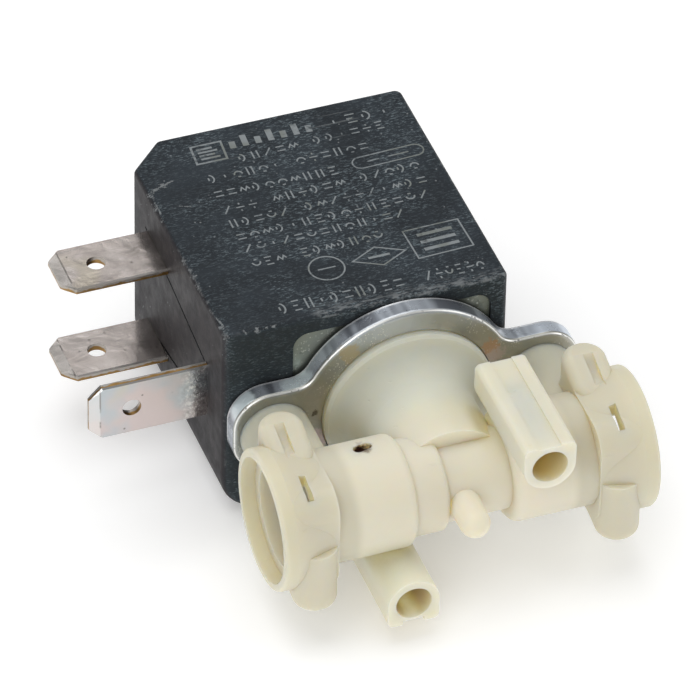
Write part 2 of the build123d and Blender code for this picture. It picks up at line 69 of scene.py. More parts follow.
# chips knocked out of the casing's edges: place and reach, metres
CHIPS = (
    ((-0.0178, 0.0450, 0.0113), 0.0005),
    ((-0.0170, 0.0455, 0.0114), 0.0004),
    ((-0.0161, 0.0459, 0.0114), 0.0004),
    ((-0.0180, 0.0431, 0.0112), 0.0004),
    ((-0.0180, 0.0412, 0.0112), 0.0003),
    ((-0.0180, 0.0226, 0.0110), 0.0005),
    ((-0.0178, 0.0241, 0.0113), 0.0004),
    ((-0.0146, 0.0226, 0.0113), 0.0004),
    ((-0.0129, 0.0226, 0.0113), 0.0003),
    ((-0.0180, 0.0346, 0.0112), 0.0004),
    ((-0.0180, 0.0305, 0.0112), 0.0003),
)
# blades: length of the tip's bevel, and where the frosted root starts and is full, metres
TIP_BEVEL = 0.0011
FROST_START = 0.0034
FROST_FULL = 0.0008
# the small notch on the inlet neck, painted dark brown: place and reach
NOTCH = (-0.0086, 0.0096, 0.0046)
NOTCH_REACH = 0.0014
# the middle of the label face, where more pale fibres show, a painted highlight standing in for the
# brighter light there: place and reach
BRIGHT_MIDDLE = (-0.0015, 0.0365, 0.0114)
BRIGHT_MIDDLE_REACH = 0.0095
# width of the band along the label face's front edge, partly worn and partly a painted highlight
FRONT_WEAR_AND_SHEEN_BAND = 0.0019
# scratches and cracks in the casing's top skin: start, end, width
CRACKS = (
    ((-0.0177, 0.0454, 0.0114), (-0.0150, 0.0463, 0.0114), 0.00011),
    ((-0.0177, 0.0446, 0.0114), (-0.0177, 0.0420, 0.0113), 0.00008),
    ((-0.0159, 0.0426, 0.0114), (-0.0146, 0.0420, 0.0114), 0.00006),
    ((-0.0178, 0.0259, 0.0113), (-0.0175, 0.0241, 0.0114), 0.00008),
    ((-0.0160, 0.0229, 0.0113), (-0.0156, 0.0223, 0.0111), 0.00011),
    ((-0.0141, 0.0226, 0.0113), (-0.0133, 0.0228, 0.0113), 0.00010),
)
# a painted shadow along the terminal block's upper seam, under the proud band: start, end, width
SEAM_SHADOW = ((-0.018, 0.04575, 0.00672), (-0.018, 0.0281, 0.00382), 0.00042)
# heat tints and a dent on the clamp plate's face: place, reach, colour
TARNISH = (
    ((0.00865, 0.0204, 0.00363), 0.0014, (0.60, 0.50, 0.50)),
    ((0.0085, 0.0204, 0.0048), 0.0011, (0.56, 0.36, 0.23)),
    ((-0.0093, 0.0204, -0.0024), 0.0018, (0.60, 0.50, 0.53)),
    ((-0.0095, 0.0204, 0.0012), 0.0004, (0.09, 0.08, 0.06)),
    ((-0.0060, 0.0204, 0.0077), 0.0013, (0.48, 0.41, 0.28)),
)
# painted highlights on the bends of the plate's wall: place and reach
GLINT_HIGHLIGHTS = (
    ((-0.0110, 0.0214, 0.0049), 0.0020),
    ((-0.0166, 0.0214, 0.0034), 0.0020),
)
# heights over which the raised ring's face turns brighter and cooler, a painted highlight along its
# top
RING_HIGHLIGHT_SPAN = (0.0072, 0.0092)
# x over which the plate's wall turns paler out on the right ear, a painted light
RIGHT_EAR_LIGHT_SPAN = (0.0120, 0.0145)
# y over which the flow body turns from the sockets' tone to the bonnet's painted shade
BONNET_SHADE_SPAN = (0.0135, 0.0185)
# distance from the middle over which the neck turns into the thin housings
HOUSING_ENDS = (0.0104, 0.0116)


# ------------------------------------------------------------------ node helpers
# the span that a noise texture's values mostly fall in
NOISE_SPAN = (0.3, 0.7)
SHELTER_RAYS = 8


class Shader:
    """A material whose nodes are added by short calls."""

    def __init__(self, name, **constants):
        self.mat = bpy.data.materials.new(name)
        self.mat.use_nodes = True
        self.tree = self.mat.node_tree
        self.bsdf = self.tree.nodes["Principled BSDF"]
        for socket, value in constants.items():
            self.bsdf.inputs[socket.replace("_", " ")].default_value = value
        self.place = self.node("ShaderNodeTexCoord").outputs["Object"]

    def node(self, kind, values=None, **settings):
        made = self.tree.nodes.new(kind)
        for key, value in settings.items():
            setattr(made, key, value)
        for key, value in (values or {}).items():
            if isinstance(value, bpy.types.NodeSocket):
                self.tree.links.new(value, made.inputs[key])
            else:
                made.inputs[key].default_value = value
        return made

    def math(self, operation, *values, clamp=False):
        made = self.node("ShaderNodeMath", dict(enumerate(values)), operation=operation,
                         use_clamp=clamp)
        return made.outputs[0]

    def step(self, value, low, high):
        """0 at low, 1 at high, smooth between."""
        made = self.node("ShaderNodeMapRange", {"Value": value, "From Min": low, "From Max": high},
                         interpolation_type="SMOOTHSTEP")
        return made.outputs["Result"]

    def span(self, value, low, high, to_low, to_high):
        """to_low at low, to_high at high, straight between."""
        made = self.node("ShaderNodeMapRange", {"Value": value, "From Min": low, "From Max": high,
                                                "To Min": to_low, "To Max": to_high})
        return made.outputs["Result"]

    def both(self, first, second):
        """A mask that holds only where two masks hold."""
        return self.math("MULTIPLY", first, second)

    def part(self, value, share):
        """A mask weakened to a share of itself."""
        return self.math("MULTIPLY", value, share)

    def uneven(self, scale, detail, rough, low, high):
        """A random amount from low to high."""
        return self.span(self.noise(scale, detail, rough), *NOISE_SPAN, low, high)

    def stretched(self, scale, turn=(0, 0, 0)):
        """The place, scaled unevenly, for drawn-out patterns."""
        values = {"Vector": self.place, "Rotation": turn, "Scale": scale}
        return self.node("ShaderNodeMapping", values).outputs[0]

    def noise(self, scale, detail=2.0, rough=0.5, at=None, warp=0.0):
        """A noise texture; scale counts its lumps along one metre."""
        values = {"Vector": at or self.place, "Scale": scale, "Detail": detail,
                  "Roughness": rough, "Distortion": warp}
        return self.node("ShaderNodeTexNoise", values).outputs["Fac"]

    def cells(self, scale, output="Distance"):
        """Scattered points: the distance to the nearest, or a random colour round each."""
        made = self.node("ShaderNodeTexVoronoi", {"Vector": self.place, "Scale": scale})
        return made.outputs[output]

    def mix(self, factor, first, second, blend="MIX"):
        """The first colour at factor 0, and the second blended over it at 1."""
        made = self.node("ShaderNodeMix", data_type="RGBA", blend_type=blend)
        pairs = ((made.inputs[0], factor), (made.inputs[6], first), (made.inputs[7], second))
        for socket, value in pairs:
            if isinstance(value, bpy.types.NodeSocket):
                self.tree.links.new(value, socket)
            elif isinstance(value, tuple):
                socket.default_value = (*value, 1.0)
            else:
                socket.default_value = value
        return made.outputs[2]

    def axes(self, vector):
        """A vector's three numbers."""
        return self.node("ShaderNodeSeparateXYZ", {0: vector}).outputs

    def facing(self):
        """The surface's own normal, as three numbers."""
        return self.axes(self.node("ShaderNodeTexCoord").outputs["Normal"])

    def box_gaps(self, low, high):
        """Metres below the nearest face of a box, and metres to its nearest edge."""
        gaps = []
        for value, a, b in zip(self.axes(self.place), low, high):
            above = self.math("SUBTRACT", value, a)
            gaps.append(self.math("MINIMUM", above, self.math("SUBTRACT", b, value)))
        smaller = self.math("MINIMUM", gaps[0], gaps[1])
        larger = self.math("MAXIMUM", gaps[0], gaps[1])
        edge = self.math("MAXIMUM", smaller, self.math("MINIMUM", larger, gaps[2]))
        return self.math("MINIMUM", smaller, gaps[2]), edge

    def shelter(self, reach):
        """1 in the open, towards 0 where other surfaces crowd round within reach metres."""
        made = self.node("ShaderNodeAmbientOcclusion", {"Distance": reach},
                         samples=SHELTER_RAYS)
        return made.outputs["AO"]

    def vector(self, operation, values):
        return self.node("ShaderNodeVectorMath", values, operation=operation).outputs

    def spot(self, centre, radius, ragged):
        """1 at a point, falling to 0 about radius metres from it, with an uneven outline."""
        gap = self.vector("DISTANCE", {0: self.place, 1: centre})["Value"]
        ragged = self.uneven(1.3 / radius, 3, 0.65, -ragged, ragged)
        return self.step(self.math("ADD", gap, ragged), radius, 0.55 * radius)

    def streak(self, start, stop, width):
        """1 along a straight scratch between two points, broken and uneven in width."""
        run = Vector(stop) - Vector(start)
        offset = self.vector("SUBTRACT", {0: self.place, 1: start})[0]
        along = self.vector("DOT_PRODUCT", {0: offset, 1: run / run.length_squared})["Value"]
        along = self.math("MAXIMUM", 0.0, along, clamp=True)
        foot = self.vector("SCALE", {0: run, "Scale": along})[0]
        gap = self.vector("DISTANCE", {0: offset, 1: foot})["Value"]
        ragged = self.uneven(2600, 3, 0.8, -1.4 * width, 1.8 * width)
        return self.step(self.math("ADD", gap, ragged), width, 0.4 * width)

    def bump(self, height, depth, strength, under=None):
        """A bumped normal; depth is in metres, under is a normal to build on."""
        values = {"Height": height, "Distance": depth, "Strength": strength}
        if under:
            values["Normal"] = under
        return self.node("ShaderNodeBump", values).outputs[0]

    def set(self, **links):
        """Link outputs to the shader's sockets, and give back the material."""
        for socket, value in links.items():
            self.tree.links.new(value, self.bsdf.inputs[socket.replace("_", " ")])
        return self.mat


def dress(mat, *names):
    """Give CAD nodes a material, in place of the one they came with."""
    for name in names:
        slots = nodes[name].data.materials
        slots.clear()
        slots.append(mat)


# ------------------------------------------------------------------ materials
def slate_resin():
    """Dark moulding resin: fine fibre speckle, handling scratches and chipped edges, with painted
    light and shade by face direction, painted edge highlights and painted shade in the seam and
    corners.
    """
    top_dark, top_light = (0.0115, 0.016, 0.021), (0.0205, 0.028, 0.036)
    painted_side_dark, painted_side_light = (0.0128, 0.0105, 0.0128), (0.0213, 0.0183, 0.0208)
    painted_end_grey = (0.022, 0.030, 0.034)
    fibre_grey = (0.130, 0.164, 0.182)
    dust_grey = (0.30, 0.32, 0.33)
    worn_and_highlight_grey = (0.235, 0.250, 0.255)
    seam_shadow_black, corner_shade_black = (0.004, 0.004, 0.005), (0.003, 0.003, 0.004)
    s = Shader("slate_resin", Specular_IOR_Level=0.24)
    colour = s.mix(s.step(s.noise(160, 4, 0.6), 0.35, 0.68), top_dark, top_light)
    # painted light and shade: the side walls and the sunken terminal field get a warmer, greyer
    # tone than the top, standing in for the light the sides catch
    normal = s.facing()
    depth, edge = s.box_gaps(casing_lo, casing_hi)
    recess = s.step(depth, 0.0001, 0.0003)
    side = s.math("MAXIMUM", s.step(s.math("ABSOLUTE", normal[0]), 0.4, 0.9), recess)
    side_colour = s.mix(s.noise(120, 3, 0.6), painted_side_dark, painted_side_light)
    colour = s.mix(side, colour, side_colour)
    # painted light and shade: the front and rear faces get their own paler, bluer tone by facing
    end = s.step(s.math("ABSOLUTE", normal[1]), 0.4, 0.9)
    end = s.both(end, s.math("SUBTRACT", 1.0, recess))
    colour = s.mix(s.part(end, 0.7), colour, painted_end_grey)
    # short pale fibres in clusters
    fibre = s.noise(1.0, 3, 0.7, at=s.stretched((2300, 6800, 6800), (0, 0, 0.12)), warp=0.3)
    fibre = s.step(fibre, 0.50, 0.68)
    patch = s.span(s.step(s.noise(150, 3), 0.38, 0.60), 0, 1, 0.28, 1.0)
    # painted highlight: more fibres show round the middle of the label face
    patch = s.math("MAXIMUM", patch, s.spot(BRIGHT_MIDDLE, BRIGHT_MIDDLE_REACH, 0.0030))
    patch = s.both(patch, s.math("SUBTRACT", 1.0, s.part(side, 0.8)))
    colour = s.mix(s.both(fibre, patch), colour, fibre_grey)
    dust = s.both(s.step(s.cells(1300), 0.16, 0.06), s.step(s.noise(420, 1), 0.55, 0.62))
    colour = s.mix(s.part(dust, 0.6), colour, dust_grey)
    # long faint scratches over the faces
    scratch = s.noise(1.0, 1, 0.4, at=s.stretched((60, 2600, 60), (0, 0, 0.5)))
    scratch = s.both(s.step(scratch, 0.70, 0.76), s.step(s.noise(95, 2), 0.50, 0.60))
    # a rubbed line along every edge, partly real wear and partly a painted highlight standing in
    # for the light on the rounded edges, broken up, with chips in places
    ragged = s.math("ADD", edge, s.span(s.noise(1400, 4, 0.75), 0, 1, -0.0008, 0.0008))
    line = s.both(s.step(ragged, 0.00035, 0.0), s.step(s.noise(210, 3), 0.44, 0.60))
    # the top's front edge is rubbed over a wider band, partly real wear and partly a painted
    # highlight along the edge
    place = s.axes(s.place)
    front = s.step(place[1], casing_lo.y + FRONT_WEAR_AND_SHEEN_BAND, casing_lo.y + 0.0002)
    front = s.both(front, s.step(normal[2], 0.2, 0.5))
    streaks = s.noise(1.0, 3, 0.7, at=s.stretched((900, 3200, 900)))
    band = s.both(front, s.step(streaks, 0.46, 0.62))
    band = s.both(band, s.step(s.noise(150, 2), 0.36, 0.56))
    chips = s.noise(1.0, 2, 0.6, at=s.stretched((2200, 5200, 2200), (0, 0, 0.35)))
    chips = s.step(chips, 0.44, 0.54)
    near_chip = 0.0
    for centre, radius in CHIPS:
        near_chip = s.math("MAXIMUM", near_chip, s.spot(centre, radius, 0.8 * radius))
    chips = s.both(chips, near_chip)
    for start, stop, width in CRACKS:
        chips = s.math("MAXIMUM", chips, s.streak(start, stop, width))
    marks = s.math("MAXIMUM", s.part(scratch, 0.30), s.part(line, 0.62))
    marks = s.math("MAXIMUM", marks, s.part(band, 0.60))
    marks = s.math("MAXIMUM", marks, s.part(chips, 0.75))
    colour = s.mix(marks, colour, worn_and_highlight_grey)
    # painted shadow along the terminal block's upper seam, and painted shade in the corners where
    # other surfaces crowd round
    colour = s.mix(s.part(s.streak(*SEAM_SHADOW), 0.75), colour, seam_shadow_black)
    corner_shade_mask = s.step(s.shelter(0.0018), 0.85, 0.40)
    colour = s.mix(s.part(corner_shade_mask, 0.9), colour, corner_shade_black)
    grain = s.math("ADD", s.noise(2600, 3, 0.6), s.part(s.noise(260, 2), 0.9))
    grain = s.math("SUBTRACT", grain, s.part(chips, 1.2))
    normal = s.bump(grain, 0.00005, 0.6)
    rough = s.math("ADD", s.uneven(700, 3, 0.5, 0.46, 0.62), s.part(marks, 0.15))
    return s.set(Base_Color=colour, Roughness=rough, Normal=normal)


def ivory_plastic():
    """Unfilled polyamide: satin, slightly translucent, with painted amber shade where it is thick
    and shaded, and a painted glow in the deep holes.
    """
    ivory_dark, ivory_light = (0.745, 0.700, 0.565), (0.790, 0.750, 0.620)
    olive_tint, pink_tint = (0.735, 0.715, 0.540), (0.790, 0.715, 0.615)
    bonnet_shade_grey = (0.610, 0.610, 0.520)
    thin_painted_shade, tab_painted_shade = (0.640, 0.610, 0.490), (0.500, 0.490, 0.395)
    hollow_shade_olive, painted_hole_glow = (0.590, 0.520, 0.310), (0.880, 0.820, 0.560)
    notch_black, notch_brown = (0.016, 0.008, 0.006), (0.100, 0.040, 0.022)
    s = Shader("ivory_plastic", Subsurface_Weight=0.75, Subsurface_Radius=(1.0, 0.78, 0.48),
               Subsurface_Scale=0.0030, IOR=1.5, Specular_IOR_Level=0.22)
    colour = s.mix(s.noise(90, 3, 0.5), ivory_dark, ivory_light)
    tint = s.noise(65, 2)
    colour = s.mix(s.part(s.step(tint, 0.54, 0.72), 0.5), colour, olive_tint)
    colour = s.mix(s.part(s.step(tint, 0.46, 0.30), 0.4), colour, pink_tint)
    # painted shade: the disc behind the flow tube is given a cooler, greyer tone where it lies in
    # shade
    place = s.axes(s.place)
    back = s.step(place[1], *BONNET_SHADE_SPAN)
    colour = s.mix(s.part(back, 0.85), colour, bonnet_shade_grey)
    # painted shade: the thin rims, lugs and screw tabs let more light through and are darkened for
    # it, the tabs at the back more so for their shade
    ends = s.step(s.math("ABSOLUTE", place[0]), *HOUSING_ENDS)
    colour = s.mix(ends, colour, thin_painted_shade)
    colour = s.mix(s.both(ends, back), colour, tab_painted_shade)
    # painted shade: hollows turn olive where less light reaches them, and a painted glow of light
    # through the plastic fills the deep holes
    colour = s.mix(s.step(s.shelter(0.0055), 0.62, 0.18), colour, hollow_shade_olive)
    deep = s.step(s.shelter(0.0025), 0.50, 0.18)
    colour = s.mix(s.part(deep, 0.9), colour, painted_hole_glow)
    # the small notch on the inlet neck is painted dark brown
    notch_darkening = s.spot(NOTCH, NOTCH_REACH, 0.0003)
    colour = s.mix(notch_darkening, colour, s.mix(s.noise(2400, 2), notch_black, notch_brown))
    # faint flow lines, and short witness marks of the mould
    flow = s.noise(1.0, 2, 0.5, at=s.stretched((110, 420, 420)))
    witness = s.noise(1.0, 1, 0.4, at=s.stretched((380, 1500, 1500)))
    witness = s.both(s.step(witness, 0.70, 0.76), s.step(s.noise(130, 1), 0.52, 0.58))
    height = s.math("ADD", flow, s.part(s.noise(1500, 2), 0.25))
    height = s.math("SUBTRACT", height, s.part(witness, 0.9))
    height = s.math("SUBTRACT", height, s.part(notch_darkening, 1.5))
    normal = s.bump(height, 0.00006, 0.5)
    rough = s.uneven(380, 3, 0.5, 0.40, 0.54)
    return s.set(Base_Color=colour, Roughness=rough, Normal=normal)


def bright_zinc():
    """Zinc plate: satin face, bluish streaks on the sheared walls, and painted highlights on the
    rolled edge, the ring's top and the wall's bends and back edge.
    """
    face_grey, face_warm, top_highlight_cool = (0.36, 0.375, 0.36), (0.47, 0.46, 0.405), (0.56, 0.60, 0.64)
    wall_dark, wall_light = (0.16, 0.175, 0.20), (0.44, 0.48, 0.53)
    painted_ear_light, painted_glint, rear_highlight = (0.62, 0.68, 0.76), (0.86, 0.97, 1.00), (0.80, 0.82, 0.84)
    sand_white, rolled_highlight_white = (0.86, 0.86, 0.80), (0.90, 0.90, 0.87)
    pit_grey = (0.16, 0.16, 0.15)
    s = Shader("bright_zinc")
    film = s.noise(150, 2, 0.5, warp=0.6)
    colour = s.mix(s.step(film, 0.36, 0.60), face_grey, face_warm)
    # painted highlight: the raised ring's face is brighter and cooler along its top
    place = s.axes(s.place)
    colour = s.mix(s.part(s.step(place[2], *RING_HIGHLIGHT_SPAN), 0.8), colour, top_highlight_cool)
    # each crystal of the zinc has its own shade
    shade = s.span(s.axes(s.cells(700, "Color"))[0], 0, 1, 0.90, 1.0)
    shade = s.node("ShaderNodeCombineXYZ", {0: shade, 1: shade, 2: shade}).outputs[0]
    colour = s.mix(1.0, colour, shade, "MULTIPLY")
    for centre, radius, tarnish in TARNISH:
        colour = s.mix(s.part(s.spot(centre, radius, 0.5 * radius), 0.8), colour, tarnish)
    # the sheared wall is streaked, with painted highlights on its bends and a painted highlight
    # along its back edge
    flat = s.math("ABSOLUTE", s.facing()[1])
    wall = s.step(flat, 0.30, 0.10)
    streak = s.noise(1.0, 2, 0.6, at=s.stretched((420, 40, 420)))
    wall_colour = s.mix(s.step(streak, 0.42, 0.60), wall_dark, wall_light)
    # painted light: the wall is paler out on the right ear
    wall_colour = s.mix(s.step(place[0], *RIGHT_EAR_LIGHT_SPAN), wall_colour, painted_ear_light)
    for centre, radius in GLINT_HIGHLIGHTS:
        wall_colour = s.mix(s.spot(centre, radius, 0.15 * radius), wall_colour, painted_glint)
    rear = s.step(place[1], plate_back - 0.00028, plate_back - 0.00012)
    wall_colour = s.mix(s.part(rear, 0.8), wall_colour, rear_highlight)
    colour = s.mix(wall, colour, wall_colour)
    # white specks on the face, and a painted highlight along the rolled edge, with pits
    rolled = s.both(s.step(flat, 0.84, 0.74), s.step(flat, 0.46, 0.58))
    sand = s.both(s.step(s.cells(4000), 0.32, 0.14), s.step(s.noise(260, 2), 0.48, 0.60))
    sand = s.both(sand, s.step(flat, 0.30, 0.60))
    colour = s.mix(s.part(sand, 0.75), colour, sand_white)
    pits = s.both(s.step(s.cells(2100), 0.34, 0.18), s.step(s.noise(240, 2), 0.48, 0.56))
    colour = s.mix(s.part(rolled, 0.9), colour, rolled_highlight_white)
    colour = s.mix(s.both(pits, s.part(rolled, 0.85)), colour, pit_grey)
    scuff = s.noise(1.0, 2, 0.6, at=s.stretched((350, 350, 2500), (0.3, 0, 0.4)))
    height = s.math("ADD", s.noise(1400, 3, 0.6), scuff)
    height = s.math("SUBTRACT", height, s.part(pits, 1.5))
    normal = s.bump(height, 0.000012, 0.7)
    rough = s.math("SUBTRACT", s.uneven(520, 3, 0.5, 0.34, 0.48), s.part(wall, 0.12))
    metal = s.math("SUBTRACT", 1.0, s.part(wall, 0.40))
    return s.set(Base_Color=colour, Metallic=metal, Roughness=rough, Normal=normal)


def blade_metal(name, node, broad_axis, frost, warm, cool, gold):
    """Tinned strip: satin broad faces with rolling lines, brass showing on the sheared edges."""
    spot_brown, crease_shade_brown = (0.10, 0.085, 0.07), (0.16, 0.14, 0.12)
    crystal_white, crystal_gap = (0.92, 0.91, 0.88), (0.30, 0.28, 0.26)
    coined_highlight_white, side_grey = (0.88, 0.86, 0.82), (0.34, 0.32, 0.29)
    brass_dark, brass_light = (0.13, 0.07, 0.025), (0.48, 0.30, 0.11)
    s = Shader(name, Metallic=1.0)
    low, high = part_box(node)
    middle = (low[broad_axis] + high[broad_axis]) / 2
    place = s.axes(s.place)
    colour = s.mix(s.step(s.noise(150, 3, 0.6), 0.38, 0.62), warm, cool)
    colour = s.mix(s.part(s.step(s.noise(110, 2, warp=0.5), 0.54, 0.68), 0.7), colour, gold)
    spots = s.both(s.step(s.cells(900), 0.15, 0.05), s.step(s.noise(330, 1), 0.50, 0.60))
    colour = s.mix(s.part(spots, 0.7), colour, spot_brown)
    # etched crystals where the blade leaves the casing
    root = s.step(place[0], casing_lo.x - FROST_START, casing_lo.x - FROST_FULL)
    root = s.part(root, frost)
    grainy = s.noise(2600, 2, 0.8)
    crystal = s.both(root, s.step(grainy, 0.52, 0.62))
    colour = s.mix(crystal, colour, crystal_white)
    colour = s.mix(s.both(root, s.step(grainy, 0.46, 0.36)), colour, crystal_gap)
    # painted highlight on the coined edges, and painted shade in the crease behind the tip's bevel
    flat = s.math("ABSOLUTE", s.facing()[broad_axis])
    coined = s.both(s.step(flat, 0.996, 0.988), s.step(flat, 0.45, 0.60))
    colour = s.mix(s.part(coined, 0.4), colour, coined_highlight_white)
    crease = s.math("ABSOLUTE", s.math("SUBTRACT", place[0], low[0] + TIP_BEVEL))
    crease = s.both(s.step(crease, 0.00011, 0.00005), s.step(s.noise(900, 2), 0.40, 0.52))
    colour = s.mix(s.part(crease, 0.6), colour, crease_shade_brown)
    # the sheared edges are duller, and bare brass below a torn line
    side = s.step(flat, 0.45, 0.30)
    colour = s.mix(s.part(side, 0.75), colour, side_grey)
    torn = s.math("ADD", place[broad_axis], s.uneven(900, 3, 0.7, -0.00018, 0.00018))
    torn = s.both(side, s.step(torn, middle + 0.00008, middle - 0.00006))
    colour = s.mix(torn, colour, s.mix(s.noise(700, 3, 0.7), brass_dark, brass_light))
    rolled = s.noise(1.0, 3, 0.6, at=s.stretched((90, 3200, 3200)))
    height = s.math("ADD", rolled, s.part(s.noise(1800, 2), 0.6))
    height = s.math("ADD", height, s.part(crystal, 1.5))
    wavy = s.bump(s.noise(420, 2, warp=0.4), 0.00004, 0.8)
    normal = s.bump(height, 0.00001, 0.22, under=wavy)
    rough = s.math("ADD", s.uneven(260, 3, 0.5, 0.15, 0.24), s.part(side, 0.2))
    return s.set(Base_Color=colour, Roughness=rough, Normal=normal)


def yoke_steel():
    """Passivated mild steel: dull green-grey with stains, pale specks and painted shade in the
    corners.
    """
    dark_green, light_green = (0.22, 0.25, 0.22), (0.40, 0.43, 0.38)
    stain_green, speck_pale = (0.10, 0.115, 0.10), (0.60, 0.63, 0.57)
    corner_shade_dark = (0.02, 0.022, 0.02)
    s = Shader("yoke_steel", Metallic=0.6)
    colour = s.mix(s.noise(210, 4, 0.6), dark_green, light_green)
    stain = s.step(s.noise(420, 4, 0.7), 0.54, 0.66)
    colour = s.mix(s.part(stain, 0.5), colour, stain_green)
    colour = s.mix(s.step(s.noise(3000, 2), 0.60, 0.72), colour, speck_pale)
    # painted shade: darker where other surfaces crowd round
    corner_shade_mask = s.step(s.shelter(0.0012), 0.80, 0.40)
    colour = s.mix(s.part(corner_shade_mask, 0.75), colour, corner_shade_dark)
    normal = s.bump(s.noise(1700, 3, 0.6), 0.00002, 0.6)
    rough = s.uneven(600, 3, 0.5, 0.46, 0.62)
    return s.set(Base_Color=colour, Roughness=rough, Normal=normal)


def turned_steel():
    """Stainless steel with fine lathe lines round the plunger axis."""
    s = Shader("turned_steel", Metallic=1.0)
    colour = s.mix(s.noise(240, 3), (0.55, 0.55, 0.54), (0.68, 0.68, 0.67))
    lathe = s.noise(1.0, 2, 0.5, at=s.stretched((140, 6000, 140)))
    normal = s.bump(lathe, 0.000012, 0.7)
    rough = s.span(lathe, *NOISE_SPAN, 0.24, 0.36)
    return s.set(Base_Color=colour, Roughness=rough, Normal=normal)


def seal_rubber():
    """Matt black rubber."""
    s = Shader("seal_rubber")
    colour = s.mix(s.noise(700, 3), (0.018, 0.018, 0.018), (0.035, 0.034, 0.033))
    normal = s.bump(s.noise(2600, 3, 0.6), 0.00003, 0.6)
    rough = s.uneven(900, 2, 0.5, 0.55, 0.75)
    return s.set(Base_Color=colour, Roughness=rough, Normal=normal)


def wound_copper():
    """Enamelled copper, banded like the turns of a winding."""
    s = Shader("wound_copper", Metallic=1.0)
    wave = {"Vector": s.place, "Scale": 900.0, "Distortion": 0.4}
    wave = s.node("ShaderNodeTexWave", wave, wave_type="BANDS", bands_direction="Y")
    turns = wave.outputs["Fac"]
    colour = s.mix(turns, (0.52, 0.20, 0.09), (0.86, 0.42, 0.22))
    normal = s.bump(turns, 0.00006, 0.8)
    rough = s.uneven(800, 2, 0.5, 0.24, 0.38)
    return s.set(Base_Color=colour, Roughness=rough, Normal=normal)


def bobbin_plastic():
    """Glass-filled polyamide, mottled."""
    s = Shader("bobbin_plastic")
    colour = s.mix(s.noise(500, 4, 0.6), (0.52, 0.49, 0.38), (0.68, 0.65, 0.54))
    normal = s.bump(s.noise(1900, 3), 0.00003, 0.6)
    rough = s.uneven(600, 2, 0.5, 0.42, 0.58)
    return s.set(Base_Color=colour, Roughness=rough, Normal=normal)


def etched_grey():
    """Pale laser print, rubbed away in patches down to the resin's own tone."""
    rubbed_grey, print_grey = (0.060, 0.072, 0.078), (0.230, 0.252, 0.262)
    olive_grey = (0.135, 0.145, 0.115)
    s = Shader("etched_grey", Specular_IOR_Level=0.25)
    rubbed = s.math("ADD", s.noise(1500, 3, 0.7), s.part(s.noise(170, 2), 0.7))
    colour = s.mix(s.step(rubbed, 0.52, 0.84), rubbed_grey, print_grey)
    colour = s.mix(s.part(s.step(s.noise(240, 2), 0.55, 0.65), 0.5), colour, olive_grey)
    normal = s.bump(s.noise(5200, 2), 0.00002, 0.6)
    rough = s.uneven(900, 2, 0.5, 0.60, 0.80)
    return s.set(Base_Color=colour, Roughness=rough, Normal=normal)


dress(slate_resin(), "coil_casing")
dress(ivory_plastic(), "valve_body")
dress(bright_zinc(), "clamp_plate", "clamp_screws", "spring_washer", "coil_nut")
# tones of the tinned blades: warm, cool and gold
FLAT_TONES = ((0.68, 0.61, 0.57), (0.78, 0.71, 0.67), (0.74, 0.67, 0.55))
UPRIGHT_TONES = ((0.62, 0.54, 0.53), (0.50, 0.54, 0.57), (0.68, 0.56, 0.38))
# material, node, axis through the strip's thickness, frost at the root, tones
BLADES = (
    ("tinned_line", "line_terminal", 2, 0.15, FLAT_TONES),
    ("tinned_neutral", "neutral_terminal", 2, 0.15, FLAT_TONES),
    ("tinned_earth", "earth_terminal", 1, 0.8, UPRIGHT_TONES),
)
for name, node, broad_axis, frost, tones in BLADES:
    dress(blade_metal(name, node, broad_axis, frost, *tones), node)
dress(yoke_steel(), "yoke_frame", "front_flux_sleeve", "rear_flux_sleeve")
steel = turned_steel()
dress(steel, "guide_tube", "fixed_core", "plunger", "plunger_spring")
dress(seal_rubber(), "guide_o_ring", "plunger_seal")
dress(wound_copper(), "coil_winding", "shading_ring")
dress(bobbin_plastic(), "coil_bobbin", "winding_tape")


# ------------------------------------------------------------------ new pieces
def new_piece(name, verts, faces, material):
    """A mesh object with one material."""
    mesh = bpy.data.meshes.new(name)
    mesh.from_pydata(verts, [], faces)
    mesh.materials.append(material)
    piece = bpy.data.objects.new(name, mesh)
    bpy.context.collection.objects.link(piece)
    return piece


# ------------------------------------------------------------------ return spring
# a wire helix at the CAD spring's length, parented to the valve body; the real spring shortens as
# the plunger lifts
SPRING_TURNS = 6
SPRING_STEPS = 30
WIRE_SIDES = 12
WIRE_R = 0.3 * MM
# how much closer together the end turns lie than the middle ones
END_PINCH = 0.55
spring_lo, spring_hi = [Vector(c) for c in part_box("plunger_spring")]
coil_r = spring_hi.z - WIRE_R
climb = spring_hi.y - spring_lo.y - 2 * WIRE_R
wire_verts = []
wire_faces = []
rings = SPRING_TURNS * SPRING_STEPS + 1
for i in range(rings):
    share = i / (rings - 1)
    turn = 2 * math.pi * SPRING_TURNS * share
    rise = share - END_PINCH * math.sin(2 * math.pi * share) / (2 * math.pi)
    for k in range(WIRE_SIDES):
        around = 2 * math.pi * k / WIRE_SIDES
        out = coil_r + WIRE_R * math.cos(around)
        y = spring_lo.y + WIRE_R + climb * rise + WIRE_R * math.sin(around)
        wire_verts.append((out * math.cos(turn), y, out * math.sin(turn)))
for i in range(rings - 1):
    near = i * WIRE_SIDES
    far = near + WIRE_SIDES
    for k in range(WIRE_SIDES):
        n = (k + 1) % WIRE_SIDES
        wire_faces.append((near + k, near + n, far + n, far + k))
wire_faces.append(tuple(reversed(range(WIRE_SIDES))))
wire_faces.append(tuple(range((rings - 1) * WIRE_SIDES, rings * WIRE_SIDES)))
return_spring = new_piece("return_spring", wire_verts, wire_faces, steel)
return_spring.data.shade_smooth()
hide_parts("plunger_spring")
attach(return_spring, "valve")
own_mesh(return_spring)

